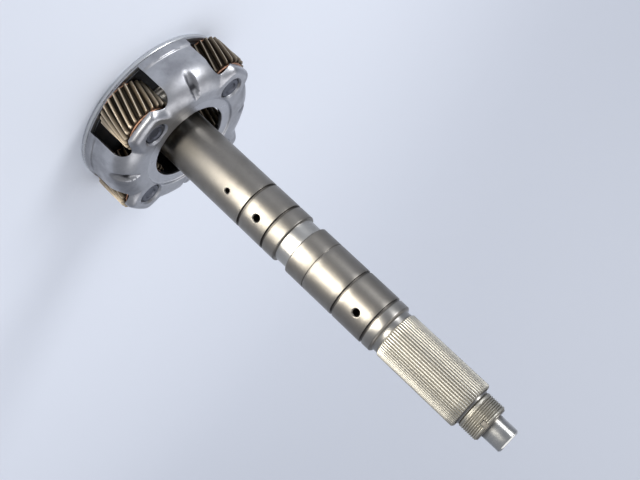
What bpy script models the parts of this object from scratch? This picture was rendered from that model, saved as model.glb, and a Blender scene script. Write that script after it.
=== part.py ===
"""Gearbox output shaft with its planet carrier, standing on the back face of the carrier.

The shaft axis is the Z axis. Z = 0 is the back face of the carrier plate and the pilot end of the
shaft points up. All lengths below are in millimetres and are turned into metres by MM.
"""
import math

import bmesh
import bpy
from mathutils import Matrix, Vector

MM = 0.001

# Clearances
GAP = 0.3

# Shaft radii
LAND_RADIUS = 19.0
JOURNAL_RADIUS = 17.0
END_LAND_RADIUS = 18.75
SPLINE_TIP_RADIUS = 17.4
SPLINE_ROOT_RADIUS = 16.2
UNDERCUT_RADIUS = 15.9
THREAD_RADIUS = 13.95
RELIEF_RADIUS = 13.0
PILOT_RADIUS = 8.9
OIL_BORE_RADIUS = 2.75

# Shaft stations measured from the back face of the carrier plate
SMALL_HOLE_Z = 90.6
SEAL_GROOVE_Z = (107.5, 130.2)
LARGE_HOLE_Z = 118.6
JOURNAL_Z = (141.7, 152.9)
THIN_GROOVE_Z = 168.9
REAR_GROOVE_Z = (195.5, 222.0)
REAR_HOLE_Z = 210.2
END_LAND_Z = 226.0
UNDERCUT_Z = 230.3
SPLINE_Z = (234.7, 300.4)
THREAD_START_Z = 302.2
THREAD_END_Z = 317.1
SHAFT_END_Z = 332.0
OIL_BORE_END_Z = 214.0

# Shaft details
SEAL_GROOVE_WIDTH = 2.0
SEAL_GROOVE_DEPTH = 1.7
THIN_GROOVE_WIDTH = 1.0
THIN_GROOVE_DEPTH = 0.5
LAND_CHAMFER = 0.5
END_LAND_ROLL = 1.6
SPLINE_TEETH = 32
SPLINE_CHAMFER = 1.0
THREAD_CHAMFER = 1.8
PILOT_CHAMFER = 1.1
CENTRE_DRILL_RADIUS = 2.6
CENTRE_DRILL_DEPTH = 4.5
SMALL_HOLE_RADIUS = 1.5
LARGE_HOLE_RADIUS = 2.4
HOLE_CHAMFER = 0.8
HOLE_ANGLE = -83.2
STAKE_SLOT_ANGLE = -93.5
STAKE_SLOT_WIDTH = 3.2
STAKE_SLOT_DEPTH = 1.6
STAKE_SLOT_LENGTH = 5.0

# Carrier plate
PLATE_RADIUS = 62.5
PLATE_RIM_THICKNESS = 3.2
PLATE_SHOULDER = 1.3
PLATE_CHAMFER = 0.6
PLATE_TOP_Z = PLATE_RIM_THICKNESS + PLATE_SHOULDER

# Shaft flange, which sits in the bore of the carrier plate
FLANGE_RADIUS = 26.0
FLANGE_PROUD = 1.2
FLANGE_CHAMFER = 0.6
NECK_FILLET = 5.5
FLANGE_TOP_Z = PLATE_TOP_Z + FLANGE_PROUD

# Pinions, pins, needles and washers
PINION_COUNT = 4
PIN_SET_BACK = 15.6
PIN_CIRCLE_RADIUS = PLATE_RADIUS - PIN_SET_BACK
PIN_RADIUS = 7.6
PIN_RECESS = 0.9
PIN_CHAMFER = 0.7
PIN_CUP_RADIUS = 4.6
PIN_CUP_DEPTH = 0.9
PIN_HOLE_CHAMFER = 1.3
NEEDLE_RADIUS = 1.25
NEEDLE_COUNT = 11
NEEDLE_CAGE_WALL = 1.5
NEEDLE_END_GAP = 0.4
PINION_TEETH = 23
PINION_TIP_RADIUS = 19.6
PINION_TOOTH_DEPTH = 3.5
PINION_LENGTH = 25.6
PINION_CHAMFER = 0.7
HELIX_ANGLE = 17.8
REAR_WASHER_THICKNESS = 0.8
FRONT_WASHER_THICKNESS = 1.1
WASHER_LAP = 0.3
COVER_LIP_DROP = 2.0

# Stack of the planets between the plate and the cover
PINION_BOTTOM_Z = PLATE_TOP_Z + GAP + REAR_WASHER_THICKNESS + GAP
PINION_TOP_Z = PINION_BOTTOM_Z + PINION_LENGTH
COVER_LIP_Z = PINION_TOP_Z + GAP + FRONT_WASHER_THICKNESS + GAP
COVER_UNDER_Z = COVER_LIP_Z + COVER_LIP_DROP
PINION_ROOT_RADIUS = PINION_TIP_RADIUS - PINION_TOOTH_DEPTH
WASHER_RADIUS = PINION_ROOT_RADIUS + WASHER_LAP

# Carrier cover, a stamped cup
COVER_WALL = 3.9
COVER_PAD_THICKNESS = 4.6
COVER_WALL_SET_BACK = 1.1
COVER_FOOT_SET_BACK = 0.2
COVER_FOOT_HEIGHT = 5.4
COVER_LOBE_OVERHANG = 0.1
COVER_RING_STEP = 1.3
COVER_RING_SLOPE = 1.8
COVER_RING_WIDTH = 7.0
OPENING_RADIUS = 30.0
OPENING_EDGE = 1.1
WEB_CORNER_RADIUS = 17.0
LOBE_CORNER_RADIUS = 2.6
LOBE_FLAT_ANGLE = 10.0
LOBE_END_ANGLE = 18.0
WINDOW_SIDE_CLEARANCE = 7.4
WINDOW_CORNER = 9.0
WINDOW_RELIEF = 0.4
WINDOW_DEPTH = 13.7
DIMPLE_LENGTH = 9.6
DIMPLE_WIDTH = 3.6
DIMPLE_DEPTH = 2.3
COVER_PAD_Z = COVER_UNDER_Z + COVER_PAD_THICKNESS
COVER_RING_Z = COVER_PAD_Z - COVER_RING_STEP
COVER_RING_RADIUS = OPENING_RADIUS + COVER_RING_WIDTH
COVER_WALL_RADIUS = PLATE_RADIUS - COVER_WALL_SET_BACK
COVER_FOOT_RADIUS = PLATE_RADIUS - COVER_FOOT_SET_BACK
COVER_LOBE_RADIUS = PLATE_RADIUS + COVER_LOBE_OVERHANG

# Facets
SHAFT_FACETS = SPLINE_TEETH
PLATE_FACETS = 60
COVER_FACETS = 60
SMALL_FACETS = 16
HOLE_FACETS = 12
SHARP_ANGLE = math.radians(32.0)

COLLECTION_NAME = "gearbox_output_shaft"


def clear_scene():
    """Remove the objects that the scene holds."""
    for item in list(bpy.data.objects):
        bpy.data.objects.remove(item, do_unlink=True)


def make_collection(name):
    """Return a new collection linked to the scene."""
    group = bpy.data.collections.new(name)
    bpy.context.scene.collection.children.link(group)
    return group


def make_material(name, colour, roughness, metallic):
    """Return a Principled material with the given colour, roughness and metallic value."""
    material = bpy.data.materials.new(name)
    material.use_nodes = True
    shader = material.node_tree.nodes["Principled BSDF"]
    shader.inputs["Base Color"].default_value = (*colour, 1.0)
    shader.inputs["Roughness"].default_value = roughness
    shader.inputs["Metallic"].default_value = metallic
    material.diffuse_color = (*colour, 1.0)
    return material


def add_object(name, mesh, group, material=None):
    """Link a named object that carries the mesh and the material."""
    item = bpy.data.objects.new(name, mesh)
    group.objects.link(item)
    if material is not None and not mesh.materials:
        mesh.materials.append(material)
    return item


def add_cutter(name, mesh):
    """Link a cutter: drawn as wires and left out of the render."""
    item = add_object(name, mesh, cutters)
    item.display_type = "WIRE"
    item.hide_render = True
    return item


def cut(target, cutter):
    """Subtract a cutter from a target with an exact Boolean."""
    modifier = target.modifiers.new("cut " + cutter.name, "BOOLEAN")
    modifier.operation = "DIFFERENCE"
    modifier.solver = "EXACT"
    modifier.object = cutter


def profile_mesh(name, points, closed):
    """Return a mesh of one polyline in the XZ plane."""
    mesh = bpy.data.meshes.new(name)
    count = len(points)
    edges = [(i, i + 1) for i in range(count - 1)]
    if closed:
        edges.append((count - 1, 0))
    mesh.from_pydata([(r * MM, 0.0, z * MM) for r, z in points], edges, [])
    return mesh


def add_turned(name, points, group, material, facets, closed=False):
    """Turn a profile of radius and height pairs about the Z axis with a Screw modifier."""
    item = add_object(name, profile_mesh(name, points, closed), group, material)
    screw = item.modifiers.new("turn", "SCREW")
    screw.axis = "Z"
    screw.angle = 2.0 * math.pi
    screw.steps = facets
    screw.render_steps = facets
    screw.use_merge_vertices = True
    screw.merge_threshold = 0.000001
    screw.use_smooth_shade = True
    return item


def mesh_from_bmesh(name, bm):
    """Turn a bmesh into a mesh that faces out and is shaded smooth between its sharp edges."""
    bmesh.ops.recalc_face_normals(bm, faces=bm.faces)
    mesh = bpy.data.meshes.new(name)
    bm.to_mesh(mesh)
    bm.free()
    mesh.shade_smooth()
    mesh.set_sharp_from_angle(angle=SHARP_ANGLE)
    return mesh


def ring_loop(bm, points):
    """Add one closed loop of vertices with its edges."""
    verts = [bm.verts.new((x * MM, y * MM, z * MM)) for x, y, z in points]
    edges = [bm.edges.new((verts[i], verts[(i + 1) % len(verts)])) for i in range(len(verts))]
    return verts, edges


def skin(bm, lower, upper):
    """Close the band between two loops of equal length with quads."""
    count = len(lower)
    for i in range(count):
        j = (i + 1) % count
        bm.faces.new((lower[i], lower[j], upper[j], upper[i]))


def polar(radius, degrees, z=0.0):
    """Return a point from a radius, an angle in degrees and a height."""
    angle = math.radians(degrees)
    return (radius * math.cos(angle), radius * math.sin(angle), z)


def pin_angle(index):
    """Return the angle of a pin about the shaft in degrees."""
    return -90.0 + index * 360.0 / PINION_COUNT


def pin_place(index):
    """Return the placing of a pin: on the pin circle and turned with it."""
    x, y, z = polar(PIN_CIRCLE_RADIUS, pin_angle(index))
    turn = Matrix.Rotation(math.radians(pin_angle(index)), 4, "Z")
    return Matrix.Translation(Vector((x * MM, y * MM, z * MM))) @ turn


def groove(z, width, depth, radius):
    """Return the profile points of a square groove, from its upper edge to its lower edge."""
    top = z + width / 2.0
    bottom = z - width / 2.0
    return [(radius, top), (radius - depth, top), (radius - depth, bottom), (radius, bottom)]


def seal_groove(z):
    """Return the profile points of a sealing ring groove in the main land."""
    return groove(z, SEAL_GROOVE_WIDTH, SEAL_GROOVE_DEPTH, LAND_RADIUS)


def shaft_profile():
    """Return the outline of the shaft from the pilot end down its outer side and up the oil bore."""
    spline_start, spline_end = SPLINE_Z
    journal_start, journal_end = JOURNAL_Z
    # a tooth crest lies on the middle of a facet, so the corner radius is a little larger
    crest = SPLINE_TIP_RADIUS / math.cos(math.pi / SPLINE_TEETH)
    points = [
        (0.0, SHAFT_END_Z - CENTRE_DRILL_DEPTH),
        (CENTRE_DRILL_RADIUS, SHAFT_END_Z),
        (PILOT_RADIUS - PILOT_CHAMFER, SHAFT_END_Z),
        (PILOT_RADIUS, SHAFT_END_Z - PILOT_CHAMFER),
        (PILOT_RADIUS, THREAD_END_Z),
        (THREAD_RADIUS - THREAD_CHAMFER, THREAD_END_Z),
        (THREAD_RADIUS, THREAD_END_Z - THREAD_CHAMFER),
        (THREAD_RADIUS, THREAD_START_Z),
        (RELIEF_RADIUS, THREAD_START_Z - 0.6),
        (RELIEF_RADIUS, spline_end),
        (crest - SPLINE_CHAMFER, spline_end),
        (crest, spline_end - SPLINE_CHAMFER),
        (crest, spline_start + SPLINE_CHAMFER),
        (crest - SPLINE_CHAMFER, spline_start),
        (UNDERCUT_RADIUS, spline_start),
        (UNDERCUT_RADIUS, UNDERCUT_Z + END_LAND_ROLL),
        (END_LAND_RADIUS - END_LAND_ROLL, UNDERCUT_Z),
        (END_LAND_RADIUS - 0.35 * END_LAND_ROLL, UNDERCUT_Z - 0.65 * END_LAND_ROLL),
        (END_LAND_RADIUS, END_LAND_Z),
    ]
    points += groove(REAR_GROOVE_Z[1], SEAL_GROOVE_WIDTH, SEAL_GROOVE_DEPTH, END_LAND_RADIUS)[:3]
    points.append((LAND_RADIUS, REAR_GROOVE_Z[1] - SEAL_GROOVE_WIDTH / 2.0))
    points += seal_groove(REAR_GROOVE_Z[0])
    points += groove(THIN_GROOVE_Z, THIN_GROOVE_WIDTH, THIN_GROOVE_DEPTH, LAND_RADIUS)
    points += [
        (LAND_RADIUS, journal_end + LAND_CHAMFER),
        (LAND_RADIUS - LAND_CHAMFER, journal_end),
        (JOURNAL_RADIUS, journal_end),
        (JOURNAL_RADIUS, journal_start),
        (LAND_RADIUS - LAND_CHAMFER, journal_start),
        (LAND_RADIUS, journal_start - LAND_CHAMFER),
    ]
    points += seal_groove(SEAL_GROOVE_Z[1])
    points += seal_groove(SEAL_GROOVE_Z[0])
    for step in range(3):
        turn = math.radians(90.0 * step / 2.0)
        radius = LAND_RADIUS + NECK_FILLET * (1.0 - math.cos(turn))
        points.append((radius, FLANGE_TOP_Z + NECK_FILLET * (1.0 - math.sin(turn))))
    points += [
        (FLANGE_RADIUS - FLANGE_CHAMFER, FLANGE_TOP_Z),
        (FLANGE_RADIUS, FLANGE_TOP_Z - FLANGE_CHAMFER),
        (FLANGE_RADIUS, FLANGE_CHAMFER),
        (FLANGE_RADIUS - FLANGE_CHAMFER, 0.0),
        (2.0 * OIL_BORE_RADIUS, 0.0),
        (OIL_BORE_RADIUS, 1.6 * OIL_BORE_RADIUS),
        (OIL_BORE_RADIUS, OIL_BORE_END_Z),
        (0.0, OIL_BORE_END_Z + 0.6 * OIL_BORE_RADIUS),
    ]
    return points


def hole_cutter(name, z, radius):
    """Return a cutter for a radial oil hole with a chamfered mouth."""
    mouth = radius + HOLE_CHAMFER
    points = [
        (0.0, LAND_RADIUS + 2.0),
        (mouth + 2.0, LAND_RADIUS + 2.0),
        (mouth, LAND_RADIUS),
        (radius, LAND_RADIUS - HOLE_CHAMFER),
        (radius, 0.0),
        (0.0, 0.0),
    ]
    item = add_turned(name, points, cutters, None, HOLE_FACETS)
    item.display_type = "WIRE"
    item.hide_render = True
    lean = Matrix.Rotation(math.radians(90.0), 4, "Y")
    spin = Matrix.Rotation(math.radians(HOLE_ANGLE), 4, "Z")
    item.matrix_world = Matrix.Translation(Vector((0.0, 0.0, z * MM))) @ spin @ lean
    return item


def prism(bm, outline, start, end):
    """Add a prism: a flat outline of XYZ offsets carried from start to end."""
    lower = [bm.verts.new(Vector(p) * MM + Vector(start) * MM) for p in outline]
    upper = [bm.verts.new(Vector(p) * MM + Vector(end) * MM) for p in outline]
    bm.faces.new(lower)
    bm.faces.new(upper)
    skin(bm, lower, upper)


def spline_cutter():
    """Return the cutter of the spline: one tapered groove for each tooth space."""
    bm = bmesh.new()
    pitch = 2.0 * math.pi * SPLINE_ROOT_RADIUS / SPLINE_TEETH
    root_half = 0.17 * pitch
    top = SPLINE_TIP_RADIUS + 1.5
    top_half = root_half + 0.62 * (top - SPLINE_ROOT_RADIUS)
    bottom_z = (UNDERCUT_Z + END_LAND_ROLL + SPLINE_Z[0]) / 2.0
    top_z = THREAD_START_Z + 1.0
    for tooth in range(SPLINE_TEETH):
        spin = Matrix.Rotation(2.0 * math.pi * tooth / SPLINE_TEETH, 3, "Z")
        flat = [(SPLINE_ROOT_RADIUS, -root_half), (top, -top_half), (top, top_half), (SPLINE_ROOT_RADIUS, root_half)]
        outline = [spin @ Vector((x, y, 0.0)) for x, y in flat]
        prism(bm, outline, (0.0, 0.0, bottom_z), (0.0, 0.0, top_z))
    return add_cutter("cutter_spline", mesh_from_bmesh("cutter_spline", bm))


def stake_slot_cutter():
    """Return the cutter of the staking slot at the free end of the thread."""
    bm = bmesh.new()
    inner = THREAD_RADIUS - STAKE_SLOT_DEPTH
    outer = THREAD_RADIUS + 3.0
    half = STAKE_SLOT_WIDTH / 2.0
    spin = Matrix.Rotation(math.radians(STAKE_SLOT_ANGLE), 3, "Z")
    outline = [spin @ Vector(p) for p in ((inner, -half, 0), (outer, -half, 0), (outer, half, 0), (inner, half, 0))]
    prism(bm, outline, (0, 0, THREAD_END_Z - STAKE_SLOT_LENGTH), (0, 0, THREAD_END_Z + 2.0))
    return add_cutter("cutter_stake_slot", mesh_from_bmesh("cutter_stake_slot", bm))


def build_shaft(material):
    """Build the one-piece shaft with its flange, lands, spline, thread seat and pilot."""
    shaft = add_turned("output_shaft", shaft_profile(), parts, material, SHAFT_FACETS)
    cut(shaft, spline_cutter())
    cut(shaft, hole_cutter("cutter_small_hole", SMALL_HOLE_Z, SMALL_HOLE_RADIUS))
    cut(shaft, hole_cutter("cutter_large_hole", LARGE_HOLE_Z, LARGE_HOLE_RADIUS))
    cut(shaft, hole_cutter("cutter_rear_hole", REAR_HOLE_Z, LARGE_HOLE_RADIUS))
    cut(shaft, stake_slot_cutter())
    return shaft


def pin_hole_cutters(name, bottom_z, top_z, mouth_z):
    """Return cutters for the pin holes, with a chamfered mouth where mouth_z is given."""
    radius = PIN_RADIUS + GAP
    points = [(0.0, top_z)]
    if mouth_z is None:
        points.append((radius, top_z))
    else:
        points.append((radius + PIN_HOLE_CHAMFER + top_z - mouth_z, top_z))
        points.append((radius, mouth_z - PIN_HOLE_CHAMFER))
    points += [(radius, bottom_z), (0.0, bottom_z)]
    found = []
    for index in range(PINION_COUNT):
        item = add_turned(name + "_" + str(index + 1), points, cutters, None, SMALL_FACETS)
        item.display_type = "WIRE"
        item.hide_render = True
        item.matrix_world = pin_place(index)
        found.append(item)
    return found


def build_plate(material):
    """Build the round back plate with its bore and pin holes."""
    bore = FLANGE_RADIUS + GAP
    shoulder = COVER_FOOT_RADIUS - COVER_WALL - GAP
    points = [
        (shoulder - PLATE_CHAMFER, PLATE_TOP_Z),
        (shoulder, PLATE_TOP_Z - PLATE_CHAMFER),
        (shoulder, PLATE_RIM_THICKNESS),
        (PLATE_RADIUS - PLATE_CHAMFER, PLATE_RIM_THICKNESS),
        (PLATE_RADIUS, PLATE_RIM_THICKNESS - PLATE_CHAMFER),
        (PLATE_RADIUS, PLATE_CHAMFER),
        (PLATE_RADIUS - PLATE_CHAMFER, 0.0),
        (bore, 0.0),
        (bore, PLATE_TOP_Z),
    ]
    plate = add_turned("carrier_plate", points, parts, material, PLATE_FACETS, closed=True)
    for cutter in pin_hole_cutters("cutter_plate_pin", -2.0, PLATE_TOP_Z + 2.0, None):
        cut(plate, cutter)
    return plate


def lobe_weight(degrees):
    """Return 1 over a pin, 0 between pins and a smooth change in between."""
    step = 360.0 / PINION_COUNT
    offset = abs((degrees - pin_angle(0) + step / 2.0) % step - step / 2.0)
    share = (offset - LOBE_FLAT_ANGLE) / (LOBE_END_ANGLE - LOBE_FLAT_ANGLE)
    share = min(1.0, max(0.0, share))
    return 1.0 - share * share * (3.0 - 2.0 * share)


def corner(centre_r, centre_z, radius, steps, upwards):
    """Return points of a quarter round from the side to the top, or back."""
    points = []
    for step in range(steps + 1):
        turn = math.radians(90.0 * step / steps)
        points.append((centre_r + radius * math.cos(turn), centre_z + radius * math.sin(turn)))
    return points if upwards else points[::-1]


def cover_profile(weight):
    """Return the closed section of the cover wall for a lobe weight."""
    foot_z = PLATE_RIM_THICKNESS + GAP
    foot_top = foot_z + COVER_FOOT_HEIGHT
    outer = COVER_WALL_RADIUS + weight * (COVER_LOBE_RADIUS - COVER_WALL_RADIUS)
    inner = COVER_WALL_RADIUS - COVER_WALL
    round_outer = WEB_CORNER_RADIUS + weight * (LOBE_CORNER_RADIUS - WEB_CORNER_RADIUS)
    round_inner = max(round_outer - COVER_WALL, 1.0)
    points = [
        (COVER_FOOT_RADIUS - COVER_WALL, foot_z),
        (COVER_FOOT_RADIUS, foot_z),
        (COVER_FOOT_RADIUS, foot_top),
        (COVER_WALL_RADIUS, foot_top + 1.2),
    ]
    points += corner(outer - round_outer, COVER_PAD_Z - round_outer, round_outer, 4, True)
    points += [
        (COVER_RING_RADIUS + COVER_RING_SLOPE, COVER_PAD_Z),
        (COVER_RING_RADIUS, COVER_RING_Z),
        (OPENING_RADIUS + OPENING_EDGE, COVER_RING_Z),
        (OPENING_RADIUS, COVER_RING_Z - OPENING_EDGE),
        (OPENING_RADIUS, COVER_UNDER_Z),
    ]
    points += corner(inner - round_inner, COVER_UNDER_Z - round_inner, round_inner, 3, False)
    points += [(inner, foot_top + 1.2), (COVER_FOOT_RADIUS - COVER_WALL, foot_top)]
    return points


def window_cutters():
    """Return the four window cutters: a wide slot with a round ear on each side of the lobe's lip."""
    half = PINION_TIP_RADIUS + WINDOW_SIDE_CLEARANCE
    ear_z = COVER_UNDER_Z + WINDOW_RELIEF - WINDOW_CORNER
    sill = PLATE_TOP_Z
    # each ear runs up, over and down again to the height of the lip
    last = math.pi - math.asin(min(1.0, (COVER_LIP_Z - ear_z) / WINDOW_CORNER))
    flat = [(-half, sill), (half, sill)]
    for side in (1.0, -1.0):
        steps = range(8) if side > 0 else range(7, -1, -1)
        for step in steps:
            turn = last * step / 7.0
            across = half - WINDOW_CORNER * (1.0 - math.cos(turn))
            flat.append((side * across, ear_z + WINDOW_CORNER * math.sin(turn)))
    found = []
    for index in range(PINION_COUNT):
        bm = bmesh.new()
        spin = Matrix.Rotation(math.radians(pin_angle(index)), 3, "Z")
        outline = [spin @ Vector((0.0, y, z)) for y, z in flat]
        start = spin @ Vector((COVER_WALL_RADIUS - WINDOW_DEPTH, 0.0, 0.0))
        end = spin @ Vector((COVER_WALL_RADIUS + WINDOW_DEPTH, 0.0, 0.0))
        prism(bm, outline, start, end)
        name = "cutter_window_" + str(index + 1)
        found.append(add_cutter(name, mesh_from_bmesh(name, bm)))
    return found


def dimple_cutters():
    """Return the pressed dimples on the round shoulders between the windows."""
    found = []
    lean_angle = math.radians(48.0)
    reach = WEB_CORNER_RADIUS + 0.25 * DIMPLE_DEPTH
    centre_r = COVER_WALL_RADIUS - WEB_CORNER_RADIUS + reach * math.cos(lean_angle)
    centre_z = COVER_PAD_Z - WEB_CORNER_RADIUS + reach * math.sin(lean_angle)
    for index in range(PINION_COUNT):
        bm = bmesh.new()
        bmesh.ops.create_uvsphere(bm, u_segments=12, v_segments=6, radius=MM)
        name = "cutter_dimple_" + str(index + 1)
        item = add_cutter(name, mesh_from_bmesh(name, bm))
        spin = Matrix.Rotation(math.radians(pin_angle(index) + 180.0 / PINION_COUNT), 4, "Z")
        place = Matrix.Translation(Vector((centre_r * MM, 0.0, centre_z * MM)))
        lean = Matrix.Rotation(math.radians(90.0) - lean_angle, 4, "Y")
        size = Matrix.Diagonal((DIMPLE_LENGTH, DIMPLE_WIDTH, DIMPLE_DEPTH, 1.0))
        item.matrix_world = spin @ place @ lean @ size
        found.append(item)
    return found


def build_cover(material):
    """Build the stamped cover: a cup lofted about the axis, then cut for windows, pins and dimples."""
    bm = bmesh.new()
    loops = []
    for facet in range(COVER_FACETS):
        degrees = 360.0 * facet / COVER_FACETS
        section = cover_profile(lobe_weight(degrees))
        loops.append(ring_loop(bm, [polar(r, degrees, z) for r, z in section])[0])
    for facet in range(COVER_FACETS):
        skin(bm, loops[facet], loops[(facet + 1) % COVER_FACETS])
    cover = add_object("carrier_cover", mesh_from_bmesh("carrier_cover", bm), parts, material)
    for cutter in window_cutters():
        cut(cover, cutter)
    for cutter in pin_hole_cutters("cutter_cover_pin", PINION_TOP_Z, COVER_PAD_Z + 2.0, COVER_PAD_Z):
        cut(cover, cutter)
    for cutter in dimple_cutters():
        cut(cover, cutter)
    return cover


def tooth_outline(tip_radius):
    """Return the angles and radii of the tooth outline of a pinion, four points for each tooth."""
    half_pitch = math.pi / PINION_TEETH
    shape = (
        (-0.74, PINION_ROOT_RADIUS),
        (-0.22, tip_radius),
        (0.22, tip_radius),
        (0.74, PINION_ROOT_RADIUS),
    )
    points = []
    for tooth in range(PINION_TEETH):
        centre = 2.0 * math.pi * tooth / PINION_TEETH
        points += [(centre + share * half_pitch, radius) for share, radius in shape]
    return points


def hollow_prism(name, outer_rings, inner_rings):
    """Return a mesh between outer loops and inner loops, closed by flat ring faces at both ends."""
    bm = bmesh.new()
    outer = [ring_loop(bm, ring) for ring in outer_rings]
    inner = [ring_loop(bm, ring) for ring in inner_rings]
    for loops in (outer, inner):
        for lower, upper in zip(loops, loops[1:]):
            skin(bm, lower[0], upper[0])
    for end in (0, -1):
        bmesh.ops.triangle_fill(bm, edges=outer[end][1] + inner[end][1], use_beauty=True)
    return mesh_from_bmesh(name, bm)


def circle_ring(radius, z, facets):
    """Return the points of one round loop."""
    return [polar(radius, 360.0 * i / facets, z) for i in range(facets)]


def pinion_mesh():
    """Return the helical pinion: right-hand teeth, chamfered at both ends, with a plain bore."""
    # the flats of the bore clear the needles, so its corners lie a little further out
    bore = (PIN_RADIUS + 2.0 * NEEDLE_RADIUS + 2.0 * GAP) / math.cos(math.pi / SMALL_FACETS)
    pitch_radius = (PINION_TIP_RADIUS + PINION_ROOT_RADIUS) / 2.0
    rise = math.tan(math.radians(HELIX_ANGLE)) / pitch_radius
    short = PINION_TIP_RADIUS - PINION_CHAMFER
    stations = [
        (PINION_BOTTOM_Z, short),
        (PINION_BOTTOM_Z + PINION_CHAMFER, PINION_TIP_RADIUS),
        (PINION_TOP_Z - PINION_CHAMFER, PINION_TIP_RADIUS),
        (PINION_TOP_Z, short),
    ]
    rings = []
    for z, tip in stations:
        twist = (z - PINION_BOTTOM_Z) * rise
        rings.append([polar(r, math.degrees(a + twist), z) for a, r in tooth_outline(tip)])
    bores = [circle_ring(bore, z, SMALL_FACETS) for z in (PINION_BOTTOM_Z, PINION_TOP_Z)]
    return hollow_prism("pinion", rings, bores)


def cage_mesh():
    """Return the needle set: a thin cage with a crest at each needle, inside and outside."""
    low = PIN_RADIUS + GAP
    high = low + 2.0 * NEEDLE_RADIUS
    middle = (low + high) / 2.0
    half_pitch = 180.0 / NEEDLE_COUNT
    outer = []
    inner = []
    for needle in range(NEEDLE_COUNT):
        centre = 2.0 * half_pitch * needle
        outer += [(high, centre), (middle + NEEDLE_CAGE_WALL / 2.0, centre + half_pitch)]
        inner += [(low, centre), (middle - NEEDLE_CAGE_WALL / 2.0, centre + half_pitch)]
    heights = (PINION_BOTTOM_Z + NEEDLE_END_GAP, PINION_TOP_Z - NEEDLE_END_GAP)
    outer_rings = [[polar(r, a, z) for r, a in outer] for z in heights]
    inner_rings = [[polar(r, a, z) for r, a in inner] for z in heights]
    return hollow_prism("needle_cage", outer_rings, inner_rings)


def pin_profile():
    """Return the outline of a pinion pin with chamfered ends and a shallow staking cup in front."""
    top = COVER_PAD_Z - PIN_RECESS
    bottom = GAP
    return [
        (0.0, top - PIN_CUP_DEPTH),
        (PIN_CUP_RADIUS - PIN_CUP_DEPTH, top - PIN_CUP_DEPTH),
        (PIN_CUP_RADIUS, top),
        (PIN_RADIUS - PIN_CHAMFER, top),
        (PIN_RADIUS, top - PIN_CHAMFER),
        (PIN_RADIUS, bottom + PIN_CHAMFER),
        (PIN_RADIUS - PIN_CHAMFER, bottom),
        (0.0, bottom),
    ]


def washer_profile(bottom, thickness):
    """Return the section of a flat thrust washer round a pin."""
    hole = PIN_RADIUS + GAP
    top = bottom + thickness
    return [(WASHER_RADIUS, top), (WASHER_RADIUS, bottom), (hole, bottom), (hole, top)]


def build_planets(steels, bronze):
    """Build the four pins with their needles, pinions and bronze thrust washers."""
    gear = pinion_mesh()
    needles = cage_mesh()
    gear.materials.append(steels["pinion"])
    needles.materials.append(steels["needles"])
    for index in range(PINION_COUNT):
        number = "_" + str(index + 1)
        place = pin_place(index)
        pin = add_turned("pinion_pin" + number, pin_profile(), parts, steels["pin"], SMALL_FACETS)
        rear = washer_profile(PLATE_TOP_Z + GAP, REAR_WASHER_THICKNESS)
        front = washer_profile(PINION_TOP_Z + GAP, FRONT_WASHER_THICKNESS)
        low_washer = add_turned("rear_washer" + number, rear, parts, bronze, SMALL_FACETS, closed=True)
        high_washer = add_turned("front_washer" + number, front, parts, bronze, SMALL_FACETS, closed=True)
        pinion = add_object("pinion" + number, gear, parts)
        cage = add_object("needle_cage" + number, needles, parts)
        for item in (pin, low_washer, high_washer, pinion, cage):
            item.matrix_world = place


clear_scene()
parts = make_collection(COLLECTION_NAME)
cutters = make_collection("cutters")
shaft_steel = make_material("ground_steel", (0.42, 0.41, 0.38), 0.28, 1.0)
cover_steel = make_material("stamped_steel", (0.55, 0.57, 0.60), 0.22, 1.0)
plate_steel = make_material("plate_steel", (0.50, 0.52, 0.55), 0.30, 1.0)
planet_steels = {
    "pinion": make_material("tempered_gear_steel", (0.36, 0.27, 0.18), 0.33, 1.0),
    "needles": make_material("needle_steel", (0.55, 0.55, 0.55), 0.20, 1.0),
    "pin": make_material("pin_steel", (0.30, 0.31, 0.34), 0.35, 1.0),
}
washer_bronze = make_material("bronze", (0.72, 0.42, 0.26), 0.32, 1.0)
build_shaft(shaft_steel)
build_plate(plate_steel)
build_cover(cover_steel)
build_planets(planet_steels, washer_bronze)
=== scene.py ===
"""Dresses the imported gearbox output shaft: its fine surfaces, its finishes, a plain studio and the camera.

Lengths inside the classes are millimetres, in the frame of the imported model, and become metres when
a mesh is made. The shaft axis is Z, and the carrier stands on Z = 0.
"""
import logging
import math
from dataclasses import dataclass, field
from enum import Enum
from functools import cache
from math import pi, radians
from typing import Callable, Optional, Sequence, Union

import bmesh
import bpy
import numpy as np
from mathutils import Matrix, Vector


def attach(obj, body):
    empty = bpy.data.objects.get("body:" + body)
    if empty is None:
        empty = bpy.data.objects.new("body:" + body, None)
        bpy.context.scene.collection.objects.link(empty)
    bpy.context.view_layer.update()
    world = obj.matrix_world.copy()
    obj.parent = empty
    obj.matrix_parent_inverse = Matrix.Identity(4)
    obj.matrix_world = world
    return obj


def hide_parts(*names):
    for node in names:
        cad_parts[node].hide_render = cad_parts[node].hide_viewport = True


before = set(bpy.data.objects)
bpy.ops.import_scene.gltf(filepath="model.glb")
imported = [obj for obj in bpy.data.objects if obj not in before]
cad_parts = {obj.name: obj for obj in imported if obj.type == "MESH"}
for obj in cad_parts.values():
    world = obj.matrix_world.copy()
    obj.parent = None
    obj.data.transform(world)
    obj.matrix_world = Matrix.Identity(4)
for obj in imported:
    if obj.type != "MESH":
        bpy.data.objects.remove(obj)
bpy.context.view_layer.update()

MM = 0.001
TINY = 1e-6
LOG = logging.getLogger("output_shaft")
Array = np.ndarray
Item = bpy.types.Object
Mesh = bpy.types.Mesh
Socket = bpy.types.NodeSocket
Pair = tuple[float, float]
Triple = tuple[float, float, float]
Colour = Triple
Arrays = tuple[Array, Array]
Number = Union[int, float, "Field"]


# Shader graphs


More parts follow.
